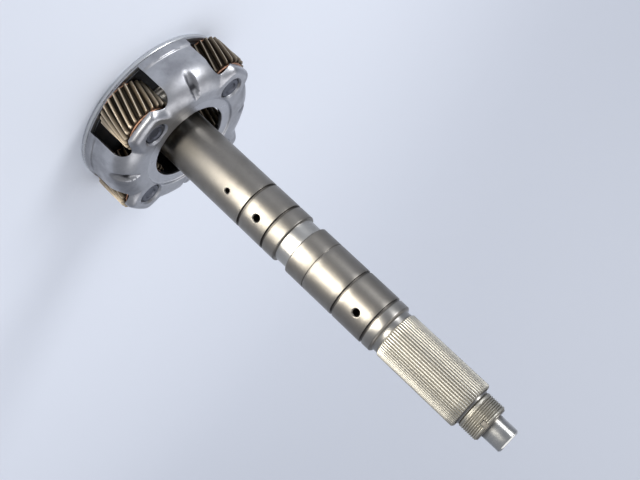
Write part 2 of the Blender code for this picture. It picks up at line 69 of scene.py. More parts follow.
def operator(operation: str, swapped: bool = False) -> Callable[["Field", Number], "Field"]:
    """Return an operator of Field that adds one Math node, with its two inputs swapped if asked."""

    def apply(self: "Field", other: Number) -> "Field":
        """Return the result of the Math node."""
        pair = (other, self) if swapped else (self, other)
        return self.graph.math(operation, *pair)

    return apply


class Field:
    """A float socket of a shader graph whose arithmetic adds Math nodes."""

    def __init__(self, graph: "Graph", socket: Socket) -> None:
        """Keep the graph and the socket that carries the value."""
        self.graph = graph
        self.socket = socket

    __add__ = __radd__ = operator("ADD")
    __sub__ = operator("SUBTRACT")
    __rsub__ = operator("SUBTRACT", swapped=True)
    __mul__ = __rmul__ = operator("MULTIPLY")
    __truediv__ = operator("DIVIDE")
    __rtruediv__ = operator("DIVIDE", swapped=True)
    __pow__ = operator("POWER")

    def between(self, low: float, high: float) -> "Field":
        """Return a smooth step from 0 at the low value to 1 at the high one, which may be the smaller."""
        inputs = {"Value": self, "From Min": low, "From Max": high}
        node = self.graph.node("ShaderNodeMapRange", inputs, interpolation_type="SMOOTHSTEP")
        return Field(self.graph, node.outputs["Result"])


class Graph:
    """The shader graph of one material, with one helper that makes any node."""

    def __init__(self, name: str) -> None:
        """Start an empty graph in a new material."""
        self.material = bpy.data.materials.new(name)
        self.material.use_nodes = True
        self.tree = self.material.node_tree
        self.tree.nodes.clear()

    def node(self, kind: str, inputs: Optional[dict] = None, **settings: object) -> bpy.types.Node:
        """Add a node, set its properties, and link or set its inputs.

        Args:
            kind: the node's type name.
            inputs: values, fields or sockets for its inputs, by socket name or number.
            settings: properties of the node.

        Returns:
            The new node.
        """
        made = self.tree.nodes.new(kind)
        for key, value in settings.items():
            setattr(made, key, value)
        for key, value in (inputs or {}).items():
            socket = made.inputs[key]
            if isinstance(value, Field):
                value = value.socket
            if isinstance(value, Socket):
                self.tree.links.new(value, socket)
            elif isinstance(value, tuple) and socket.type == "RGBA":
                socket.default_value = (*value[:3], 1.0)
            else:
                socket.default_value = value
        return made

    def math(self, operation: str, *values: Number) -> Field:
        """Return the result of one Math node."""
        made = self.node("ShaderNodeMath", dict(enumerate(values)), operation=operation)
        return Field(self, made.outputs[0])

    def position(self) -> Socket:
        """Return the object coordinates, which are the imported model's own, in metres."""
        return self.node("ShaderNodeTexCoord").outputs["Object"]

    def axes(self) -> tuple[Field, Field, Field]:
        """Return the object coordinates one by one."""
        split = self.node("ShaderNodeSeparateXYZ", {0: self.position()})
        return tuple(Field(self, split.outputs[i]) for i in range(3))

    def vector(self, x: Number, y: Number, z: Number) -> Socket:
        """Return a vector made of three values."""
        return self.node("ShaderNodeCombineXYZ", {0: x, 1: y, 2: z}).outputs[0]

    def noise(self, vector: Socket, scale: float, detail: float = 3.0, rough: float = 0.55) -> Field:
        """Return noise from 0 to 1 at the vector."""
        inputs = {"Vector": vector, "Scale": scale, "Detail": detail, "Roughness": rough}
        return Field(self, self.node("ShaderNodeTexNoise", inputs).outputs["Fac"])

    def cells(self, vector: Socket, scale: float) -> Field:
        """Return the distance to the nearest of many scattered points."""
        made = self.node("ShaderNodeTexVoronoi", {"Vector": vector, "Scale": scale})
        return Field(self, made.outputs["Distance"])

    def attribute(self, name: str) -> Field:
        """Return a float attribute of the mesh."""
        made = self.node("ShaderNodeAttribute", attribute_name=name)
        return Field(self, made.outputs["Fac"])

    def mix(self, factor: Number, first: object, second: object) -> Socket:
        """Return a colour between two colours."""
        made = self.node("ShaderNodeMix", {0: factor, 6: first, 7: second}, data_type="RGBA")
        return made.outputs[2]

    def bump(self, height: Field, depth: float) -> Socket:
        """Return a normal bumped by a height from 0 to 1, the relief's depth given in millimetres."""
        inputs = {"Height": height, "Distance": depth * MM, "Strength": 1.0}
        return self.node("ShaderNodeBump", inputs).outputs["Normal"]

    def finish(self, inputs: dict) -> bpy.types.Material:
        """Close the graph with a Principled shader and return the material."""
        shader = self.node("ShaderNodeBsdfPrincipled", inputs)
        self.node("ShaderNodeOutputMaterial", {"Surface": shader.outputs[0]})
        return self.material


class Grain(Enum):
    """How the tool marks of a metal lie."""

    TURNED = "turned"
    PRESSED = "pressed"
    HOBBED = "hobbed"


@dataclass(frozen=True)
class Steel:
    """A metal finish with tool marks, stains, pitting, rubbed edges, painted highlights and painted shade.

    Attributes:
        name, slot: the material's name, and the record's slot that it stands for; the slot is not used.
        bright, dull, hollow: the colour of clean metal, of stained metal, and of painted shade low in
            grooves and of pits.
        rough, spread: the least roughness, and how much rougher the stains are.
        grain, grain_depth: how the tool marks lie, and their depth in millimetres.
        centre: the axis of the tool marks, X and Y in millimetres.
        polish_and_highlight: the colour of polished metal and of painted highlights, or None for a little
            more than the bright colour.
        polish: how much smoother the polished metal is.
    """

    name: str
    slot: str
    bright: Colour
    dull: Colour
    painted_shade_and_pit: Colour
    rough: float = 0.2
    spread: float = 0.25
    grain: Grain = Grain.TURNED
    grain_depth: float = 0.004
    centre: Pair = (0.0, 0.0)
    polish_and_highlight: Optional[Colour] = None
    polish: float = 0.06

    def marks(self, graph: Graph) -> Field:
        """Return the tool marks as a height from 0 to 1.

        Turned marks are noise that hardly changes round the axis and changes fast along it. Pressed
        metal has a soft even texture. Hobbed teeth have fine lines along the tooth.
        """
        x, y, z = graph.axes()
        if self.grain is Grain.PRESSED:
            return graph.noise(graph.position(), 900.0, 4.0, 0.65)
        across = x - self.centre[0] * MM
        along = y - self.centre[1] * MM
        radius = (across * across + along * along) ** 0.5
        turn = graph.math("ARCTAN2", along, across)
        if self.grain is Grain.HOBBED:
            lines = graph.vector(turn * 0.35, radius * 6.0, z * 0.35)
            return graph.noise(lines, 700.0, 3.0, 0.7)
        lines = graph.vector(turn * 0.0006, radius * 0.6, z)
        return graph.noise(lines, 3800.0, 3.0, 0.7)

    def build(self) -> bpy.types.Material:
        """Return the finished material."""
        graph = Graph(self.name)
        place = graph.position()
        stain = graph.noise(place, 38.0, 5.0, 0.6).between(0.38, 0.72)
        cloud = graph.noise(place, 140.0, 4.0, 0.6)
        pits = graph.cells(place, 420.0).between(0.16, 0.05) * graph.noise(place, 90.0).between(0.5, 0.75)
        marks = self.marks(graph)
        # The first attribute is brightening, partly real polish and wear and partly painted highlight. The
        # second is darkening that is painted shade.
        wear_and_highlight = graph.attribute("wear_and_highlight")
        low = graph.attribute("low")
        base = graph.mix(stain * 0.75, self.bright, self.dull)
        base = graph.mix(cloud.between(0.4, 0.8) * 0.35, base, self.dull)
        # Painted shade: grooves, roots, hole insides and the inside of the carrier are darkened towards the
        # shade colour.
        base = graph.mix(low, base, self.painted_shade_and_pit)
        # Painted highlight: crests, tooth tips, edges and bands are brightened towards the polished colour,
        # partly as real wear.
        edge = self.polish_and_highlight or tuple(min(1.0, c * 1.25 + 0.05) for c in self.bright)
        base = graph.mix(wear_and_highlight * 0.8, base, edge)
        # Pits are the metal's own marks and darken towards the same colour.
        base = graph.mix(pits * 0.5, base, self.painted_shade_and_pit)
        rough = self.rough + stain * self.spread + cloud * 0.08 + marks * 0.06
        rough = rough - wear_and_highlight * self.polish + low * 0.2
        height = marks * 0.8 + cloud * 0.2 - pits * 0.5
        return graph.finish(
            {
                "Base Color": base,
                "Metallic": 1.0,
                "Roughness": graph.math("MAXIMUM", rough, 0.05),
                "Normal": graph.bump(height, self.grain_depth),
            }
        )


# Surfaces


def polar(radius: Array, angle: Array, height: Array) -> Array:
    """Return points from radii, angles in radians and heights."""
    radius, angle, height = np.broadcast_arrays(radius, angle, height)
    return np.stack([radius * np.cos(angle), radius * np.sin(angle), height], -1)


def smooth(value: Array) -> Array:
    """Return the smooth step 3 t squared less 2 t cubed of a value held between 0 and 1."""
    value = np.clip(value, 0.0, 1.0)
    return value * value * (3.0 - 2.0 * value)


def stations(knots: Sequence[float], longest: float) -> Array:
    """Return values that hold every knot and are no further apart than the longest step."""
    runs = [
        np.linspace(a, b, max(1, math.ceil(abs(b - a) / longest)), endpoint=False)
        for a, b in zip(knots, knots[1:])
    ]
    return np.concatenate([*runs, [knots[-1]]])


@dataclass
class Shell:
    """Grids of points that weld into closed surfaces."""

    points: list[Array] = field(default_factory=list)
    quads: list[Array] = field(default_factory=list)
    count: int = 0

    def grid(self, points: Array, around: bool = False, keep: Optional[Array] = None) -> "Shell":
        """Add a grid of quads.

        Args:
            points: an array of rows, columns and XYZ.
            around: whether the last column joins the first.
            keep: which quads to keep, an array of rows less one and columns of quads.

        Returns:
            The shell itself.
        """
        rows, columns = points.shape[:2]
        index = np.arange(rows * columns).reshape(rows, columns) + self.count
        if around:
            index = np.concatenate([index, index[:, :1]], 1)
        quads = np.stack([index[:-1, :-1], index[:-1, 1:], index[1:, 1:], index[1:, :-1]], -1)
        if keep is not None:
            quads = quads[keep]
        self.points.append(points.reshape(-1, 3))
        self.quads.append(quads.reshape(-1, 4))
        self.count += rows * columns
        return self

    def turned(self, profile: Array, columns: int = 96, centre: Pair = (0.0, 0.0)) -> "Shell":
        """Add a profile of radii and heights turned about a line parallel to Z.

        Points on the axis all fall together, and the weld makes them one pole.
        """
        angle = np.arange(columns) * (2.0 * pi / columns)
        points = polar(profile[:, :1], angle[None, :], profile[:, 1:])
        return self.grid(points + np.array([*centre, 0.0]), around=True)

    def mesh(self, name: str, sharp: float = 34.0) -> Mesh:
        """Return the welded mesh, facing out and shaded smooth between sharp edges."""
        mesh = bpy.data.meshes.new(name)
        points = np.concatenate(self.points) * MM
        quads = np.concatenate(self.quads)
        mesh.from_pydata(points, [], quads)
        work = bmesh.new()
        work.from_mesh(mesh)
        bmesh.ops.remove_doubles(work, verts=work.verts, dist=0.000002)
        bmesh.ops.dissolve_degenerate(work, dist=0.000001, edges=work.edges)
        bmesh.ops.recalc_face_normals(work, faces=work.faces)
        work.to_mesh(mesh)
        work.free()
        return shaded(mesh, sharp)


def shaded(mesh: Mesh, sharp: float = 34.0) -> Mesh:
    """Return the mesh, shaded smooth between edges sharper than an angle in degrees."""
    mesh.shade_smooth()
    mesh.set_sharp_from_angle(angle=radians(sharp))
    return mesh


def off_axis(points: Array, centre: Pair = (0.0, 0.0)) -> Array:
    """Return each point's distance from a line parallel to Z."""
    return np.hypot(points[:, 0] - centre[0], points[:, 1] - centre[1])


def placed(name: str, data: bpy.types.ID) -> Item:
    """Return a new object of the scene that carries the data."""
    item = bpy.data.objects.new(name, data)
    bpy.context.scene.collection.objects.link(item)
    return item


def rounded(profile: Sequence[Triple], steps: int = 4) -> Array:
    """Return a profile whose corners are rounded.

    Each corner is replaced by a parabola from a point on the edge before it to a point on the edge
    after it, both at the corner's own radius or at 0.45 of the shorter edge.

    Args:
        profile: radius, height and rounding of each corner.
        steps: the number of spans of each rounding.

    Returns:
        The radii and heights of the finer profile.
    """
    corners = np.array([(r, z) for r, z, _ in profile])
    found = [corners[:1]]
    for before, here, after, (_, _, size) in zip(corners, corners[1:], corners[2:], profile[1:]):
        back, on = before - here, after - here
        lengths = np.linalg.norm(back), np.linalg.norm(on)
        reach = min(size, 0.45 * lengths[0], 0.45 * lengths[1])
        if reach < 0.01:
            found.append(here[None])
            continue
        t = np.linspace(0.0, 1.0, steps + 1)[:, None]
        start = here + back / lengths[0] * reach
        end = here + on / lengths[1] * reach
        found.append((1 - t) ** 2 * start + 2 * t * (1 - t) * here + t ** 2 * end)
    return np.concatenate([*found, corners[-1:]])


@dataclass
class Piece:
    """One visible piece: the nodes it stands for, the body it rides on and its finish."""

    name: str
    nodes: tuple[str, ...]
    body: str
    finish: Steel

    def mesh(self) -> Mesh:
        """Return the piece's mesh."""
        raise NotImplementedError

    def wear_and_highlight(self, points: Array) -> Arrays:
        """Return how much brightening, partly wear and partly painted highlight, and how much painted shade
        each point has, both from 0 to 1.
        """
        return np.zeros(len(points)), np.zeros(len(points))

    def add(self) -> Item:
        """Make the object, give it its material and its two attributes, and tie it to its body."""
        mesh = self.mesh()
        points = np.empty(len(mesh.vertices) * 3)
        mesh.vertices.foreach_get("co", points)
        # The first attribute brightens with wear and painted highlights. The second darkens with painted
        # shade.
        for name, values in zip(("wear_and_highlight", "low"), self.wear_and_highlight(points.reshape(-1, 3) / MM)):
            layer = mesh.attributes.new(name, "FLOAT", "POINT")
            layer.data.foreach_set("value", np.clip(values, 0.0, 1.0).astype(np.float32))
        mesh.materials.clear()
        mesh.materials.append(material_of(self.finish))
        item = placed(self.name, mesh)
        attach(item, self.body)
        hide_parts(*self.nodes)
        LOG.info("%s: %d faces", self.name, len(mesh.polygons))
        return item


@cache
def material_of(finish: Steel) -> bpy.types.Material:
    """Return the material of a finish, which is made once."""
    return finish.build()


def settled(item: Item, *tools: Item) -> Mesh:
    """Return an object's mesh with its modifiers applied, and remove the object and its tools."""
    graph = bpy.context.evaluated_depsgraph_get()
    graph.update()
    made = bpy.data.meshes.new_from_object(item.evaluated_get(graph))
    for used in (item, *tools):
        bpy.data.objects.remove(used, do_unlink=True)
    return made


def bevelled(mesh: Mesh, width: float, sharp: float) -> Mesh:
    """Return the mesh with its sharp edges rounded by a Bevel modifier."""
    item = placed("bevelled", mesh)
    change = item.modifiers.new("round", "BEVEL")
    change.width = width * MM
    change.segments = 2
    change.limit_method = "ANGLE"
    change.angle_limit = radians(sharp)
    return settled(item)


def carve(mesh: Mesh, cutters: Sequence[Mesh]) -> Mesh:
    """Return a mesh with the cutters taken out of it by exact Booleans."""
    target = placed("carved", mesh)
    tools = [placed("tool_%d" % number, cutter) for number, cutter in enumerate(cutters)]
    for tool in tools:
        change = target.modifiers.new("cut", "BOOLEAN")
        change.operation = "DIFFERENCE"
        change.solver = "EXACT"
        change.object = tool
    return shaded(settled(target, *tools))


# The shaft

# The polished colour also serves the painted highlights on the shaft's brighter bands.
GROUND = Steel(
    "ground_shaft", "ground_steel", (0.215, 0.20, 0.178), (0.155, 0.145, 0.128), (0.05, 0.045, 0.04),
    rough=0.27, spread=0.10, grain_depth=0.003, polish_and_highlight=(0.62, 0.615, 0.59), polish=0.16,
)
SPLINED = Steel(
    "rolled_spline", "ground_steel", (0.36, 0.345, 0.305), (0.29, 0.275, 0.24), (0.16, 0.148, 0.125),
    rough=0.36, spread=0.14, grain=Grain.HOBBED, grain_depth=0.006,
)


@dataclass
class ShaftBody(Piece):
    """The turned shaft: flange, fillet, lands, grooves, journal, reliefs and pilot, with its oil holes."""

    land: float = 19.0
    journal: float = 17.0
    columns: int = 192
    hole_angle: float = -83.2
    holes: tuple[Pair, ...] = ((90.6, 1.5), (118.6, 2.4), (210.2, 2.4))
    hole_chamfer: float = 0.8
    hole_depth: float = 8.0
    block: int = 6
    # Brighter bands along the shaft: partly polished metal, partly painted highlight.
    bands: tuple[Triple, ...] = (
        (318.0, 333.0, 0.9), (142.2, 152.4, 0.45), (230.8, 235.0, 0.35),
        (300.2, 302.4, 0.35), (223.2, 229.3, 0.2),
    )

    def groove(self, z: float, width: float, depth: float, radius: float) -> list[Triple]:
        """Return the corners of a square groove from its upper edge down."""
        low, high, floor = z - width / 2.0, z + width / 2.0, radius - depth
        return [(radius, high, 0.25), (floor, high, 0.3), (floor, low, 0.3), (radius, low, 0.25)]

    def corners(self) -> list[Triple]:
        """Return the outline from the pilot end down to the oil bore, with the rounding of each corner."""
        land = self.land
        outline = [
            (0.0, 327.5, 0.0), (2.6, 332.0, 0.15), (7.8, 332.0, 0.35), (8.9, 330.9, 0.4),
            (8.9, 317.1, 0.5), (12.6, 317.1, 0.2), (12.6, 302.4, 0.3), (13.4, 301.6, 0.3),
            (13.4, 299.0, 0.0), (14.8, 299.0, 0.0), (14.8, 236.0, 0.0), (16.3, 236.0, 0.3),
            (16.3, 231.0, 0.5), (17.7, 230.3, 0.3), (18.75, 229.4, 0.4),
        ]
        outline += self.groove(222.0, 2.0, 1.7, 18.75)[:3] + [(land, 221.0, 0.25)]
        outline += self.groove(195.5, 2.0, 1.7, land) + self.groove(168.9, 1.0, 0.5, land)
        outline += [
            (land, 153.4, 0.3), (land - 0.5, 152.9, 0.2), (self.journal, 152.9, 0.9),
            (self.journal, 141.7, 0.9), (land - 0.5, 141.7, 0.2), (land, 141.2, 0.3),
        ]
        outline += self.groove(130.2, 2.0, 1.7, land) + self.groove(107.5, 2.0, 1.7, land)
        fillet, fillet_z = 5.5, 11.2
        outline += [(land, fillet_z, 0.0)]
        turns = np.radians(np.arange(10.0, 90.0, 10.0))
        outline += [
            (land + fillet * (1 - math.cos(t)), fillet_z - fillet * math.sin(t), 0.0) for t in turns
        ]
        return outline + [
            (24.5, 5.7, 0.0), (25.4, 5.7, 0.3), (26.0, 5.1, 0.3), (26.0, 0.6, 0.3), (25.4, 0.0, 0.3),
            (5.5, 0.0, 0.3), (2.75, 4.4, 0.3), (2.75, 214.0, 0.3), (0.0, 215.6, 0.0),
        ]

    def profile(self) -> Array:
        """Return the fine outline, with close rows at each hole."""
        fine = rounded(self.corners())
        step = 2.0 * pi * self.land / self.columns
        rows = [fine[:1]]
        for start, end in zip(fine, fine[1:]):
            knots = [start[1], end[1]]
            on_land = max(abs(start[0] - end[0]), abs(start[0] - self.land)) < TINY
            for z, _ in self.holes:
                if on_land and start[1] > z > end[1]:
                    knots[1:1] = [z + step * k for k in range(self.block, -self.block - 1, -1)]
                    break
            if abs(end[1] - start[1]) > TINY:
                heights = stations(knots, 4.0)[1:]
                share = (heights - start[1]) / (end[1] - start[1])
            else:
                share = np.linspace(0, 1, max(1, round(abs(end[0] - start[0]) / 3.0)) + 1)[1:]
                heights = np.full(len(share), end[1])
            rows.append(np.stack([start[0] + share * (end[0] - start[0]), heights], -1))
        return np.concatenate(rows)

    def mesh(self) -> Mesh:
        """Return the turned surface with a square of quads round each hole traded for rings into it."""
        profile = self.profile()
        step = 2.0 * pi / self.columns
        angle = radians(self.hole_angle) + np.arange(self.columns) * step
        points = polar(profile[:, :1], angle[None, :], profile[:, 1:])
        keep = np.ones((len(profile) - 1, self.columns), bool)
        near = np.r_[0 : self.block, self.columns - self.block : self.columns]
        shell = Shell()
        for z, radius in self.holes:
            reach = self.block * step * self.land
            middle = (profile[1:, 1] + profile[:-1, 1]) / 2.0
            rows = (abs(middle - z) < reach) & (abs(profile[1:, 0] - self.land) < TINY)
            keep[np.ix_(rows, np.isin(np.arange(self.columns), near))] = False
            self.hole(shell, z, radius, step)
        shell.grid(points, around=True, keep=keep)
        return shell.mesh(self.name)

    def hole(self, shell: Shell, z: float, radius: float, step: float) -> None:
        """Add the rings of a radial hole.

        The first ring is the square outline of the block, the next ones close in on a circle on the
        cylinder, and the last ones follow the chamfer and the bore, down to a floor that is painted dark as
        shade.
        """
        n = self.block
        side = np.arange(-n, n)
        full = np.full(2 * n, n)
        across = np.concatenate([side, full, -side, -full])
        along = np.concatenate([-full, side, full, -side])
        square = np.stack([self.land * np.sin(across * step), along * step * self.land], -1)
        turn = np.arctan2(along, across)
        circle = np.stack([np.cos(turn), np.sin(turn)], -1)
        mouth = radius + self.hole_chamfer
        shares = np.linspace(0.0, 1.0, 5)
        sunk = ((0.15, 0.06), (0.5, 0.4), (0.75, 0.75), (0.8, 1.2), (0.8, 3.0), (0.8, self.hole_depth))

        def ring(flat: Array, drop: float) -> Array:
            """Return a ring of points on the cylinder, sunk by a drop."""
            return np.concatenate([flat, np.sqrt(self.land ** 2 - flat[:, :1] ** 2) - drop], -1)

        rings = [ring(square * (1 - share) + circle * mouth * share, 0.0) for share in shares]
        rings += [ring(circle * (mouth - inset), drop) for inset, drop in sunk]
        floor = np.full((len(turn), 1), self.land - self.hole_depth)
        rings.append(np.concatenate([circle * 0.0, floor], -1))
        local = np.array(rings)
        lean = radians(self.hole_angle)
        out = np.array([math.cos(lean), math.sin(lean), 0.0])
        sideways = np.array([-math.sin(lean), math.cos(lean), 0.0])
        up = np.array([0.0, 0.0, 1.0])
        points = local[..., 2:] * out + local[..., :1] * sideways + local[..., 1:2] * up
        shell.grid(points + up * z, around=True)

    def wear_and_highlight(self, points: Array) -> Arrays:
        """Return brighter bands, partly polished metal and partly painted highlight, and painted shade on
        groove floors and in holes.
        """
        radius = off_axis(points)
        z = points[:, 2]
        journal = (z > 141) & (z < 153.5)
        grooves = (radius < self.land - 1.35) & (radius > self.land - 2.0) & (z > 100) & (z < 224)
        # Painted shade on the groove floors, away from the journal.
        low = np.where(grooves & ~journal, 0.55, 0.0)
        angle = radians(self.hole_angle)
        side = -points[:, 0] * math.sin(angle) + points[:, 1] * math.cos(angle)
        # Painted shade inside the oil holes.
        for height, size in self.holes:
            inside = np.hypot(side, z - height) < size + 0.05
            low = np.where(inside & (radius < self.land - 0.9), 1.0, low)
        # Brighter bands: partly polished metal, partly painted highlight.
        polish_and_highlight = np.zeros(len(z))
        for bottom, top, amount in self.bands:
            polish_and_highlight[(z > bottom) & (z < top)] = amount
        return polish_and_highlight, low


@dataclass
class SplineSleeve(Piece):
    """The rolled spline: straight teeth with round crests and roots, chamfered at both ends."""

    teeth: int = 56
    tip: float = 17.4
    root: float = 16.65
    start: float = 234.7
    end: float = 300.4
    across: int = 10
    inner: float = 14.5

    def tooth(self, share: Array) -> Array:
        """Return the tooth's height from 0 to 1: a flat crest, sloping flanks and a round root."""
        offset = abs((share + 0.5) % 1.0 - 0.5) * 2.0
        return 1.0 - smooth((offset - 0.30) / 0.52)

    def mesh(self) -> Mesh:
        """Return the sleeve: rows from the lower end to the upper one, closed along the inside."""
        count = self.teeth * self.across
        share = np.arange(count) / self.across
        height = self.tooth(share)[None, :]
        low, high = self.start, self.end
        middle = stations((low + 1.0, high - 1.0), 6.0)
        z = np.concatenate([[low, low, low + 0.5], middle, [high - 0.5, high, high]])
        cap = np.full(len(z), self.tip)
        cap[[1, -2]] = self.tip - 1.0
        cap[[2, -3]] = self.tip - 0.45
        radius = self.root + height * (self.tip - self.root)
        radius = np.minimum(radius, cap[:, None])
        radius[[0, -1]] = self.inner
        angle = 2.0 * pi * share / self.teeth
        points = polar(radius, angle[None, :], z[:, None])
        return Shell().grid(np.concatenate([points, points[:1]]), around=True).mesh(self.name, 50.0)

    def wear_and_highlight(self, points: Array) -> Arrays:
        """Return brighter crests, partly wear and partly painted highlight, and painted shade in the roots.
        """
        radius = off_axis(points)
        share = (radius - self.root) / (self.tip - self.root)
        return smooth((share - 0.6) / 0.4) * 0.5, smooth((0.4 - share) / 0.4) * 0.9


@dataclass
class ThreadSleeve(Piece):
    """The end thread: one helical V ridge that runs out at both ends, with a staking slot."""

    crest: float = 13.95
    depth: float = 0.8
    pitch: float = 1.5
    start: float = 302.2
    end: float = 317.1
    slot_angle: float = -93.5
    slot_half: float = 1.6
    slot_length: float = 5.0
    plain: float = 0.3
    inner: float = 12.0

    def mesh(self) -> Mesh:
        """Return the sleeve.

        The radius falls from the crest by the depth times a rounded saw wave of the height less the
        turn in pitches, which fades out to a plain band at each end. Near both ends it is held below
        a chamfer cone. In the slot it is held below a flat.
        """
        columns = 144
        angle = np.arange(columns) * (2.0 * pi / columns)
        z = np.linspace(self.start, self.end, 1 + round((self.end - self.start) / self.pitch * 12))
        grid_z, grid_a = np.meshgrid(z, angle, indexing="ij")
        phase = (grid_z / self.pitch - grid_a / (2.0 * pi)) % 1.0
        wave = np.clip(abs(phase - 0.5) * 2.4 - 0.1, 0.0, 1.0)
        cut = smooth((grid_z - self.start - 1.6) / 1.2) * smooth((self.end - 1.4 - grid_z) / 1.2)
        radius = self.crest - self.plain - (self.depth * wave - self.plain) * cut
        radius = np.minimum(radius, self.crest - 1.8 + (self.end - grid_z))
        radius = np.minimum(radius, self.crest - 1.0 + (grid_z - self.start))
        turn = (grid_a - radians(self.slot_angle) + pi) % (2.0 * pi) - pi
        across = self.crest * np.sin(turn)
        above = grid_z > self.end - self.slot_length
        slot = (abs(across) < self.slot_half) & (abs(turn) < 1.0) & above
        radius = np.where(slot, np.minimum(radius, self.crest - 1.6), radius)
        points = polar(radius, grid_a, grid_z)
        low = polar(self.inner, angle[None, :], self.start)
        high = polar(self.inner, angle[None, :], self.end)
        return Shell().grid(np.concatenate([low, points, high, low]), around=True).mesh(self.name, 40.0)

    def wear_and_highlight(self, points: Array) -> Arrays:
        """Return brighter crests, partly wear and partly painted highlight, and painted shade in the roots.
        """
        share = (self.crest - off_axis(points)) / self.depth
        return smooth(1.0 - share * 2.5) * 0.4, smooth((share - 0.4) / 0.6) * 0.8


# The carrier

STAMPED = Steel(
    "stamped_carrier", "stamped_steel", (0.46, 0.46, 0.47), (0.21, 0.21, 0.225), (0.03, 0.03, 0.033),
    rough=0.25, spread=0.14, grain=Grain.PRESSED, grain_depth=0.010,
)
# The polished colour also serves the painted highlight on the plate's machined edge.
PLATE = Steel(
    "carrier_plate_steel", "plate_steel", (0.44, 0.46, 0.49), (0.31, 0.32, 0.35), (0.03, 0.03, 0.035),
    rough=0.22, spread=0.16, grain_depth=0.005, polish_and_highlight=(0.82, 0.82, 0.80),
)
PIN = Steel(
    "pin_end_steel", "pin_steel", (0.13, 0.135, 0.155), (0.08, 0.083, 0.10), (0.04, 0.04, 0.05),
    rough=0.28, spread=0.16, grain_depth=0.006,
)
PIN_CIRCLE = 46.9
PIN_HOLE = 7.9
EIGHTH = pi / 4.0


def pin_angle(index: int) -> float:
    """Return the angle of a pin about the shaft: index 0 at the front, then a quarter turn each."""
    return radians(-90.0 + 90.0 * index)


def pin_centre(index: int) -> Pair:
    """Return the X and Y of a pin."""
    return PIN_CIRCLE * math.cos(pin_angle(index)), PIN_CIRCLE * math.sin(pin_angle(index))


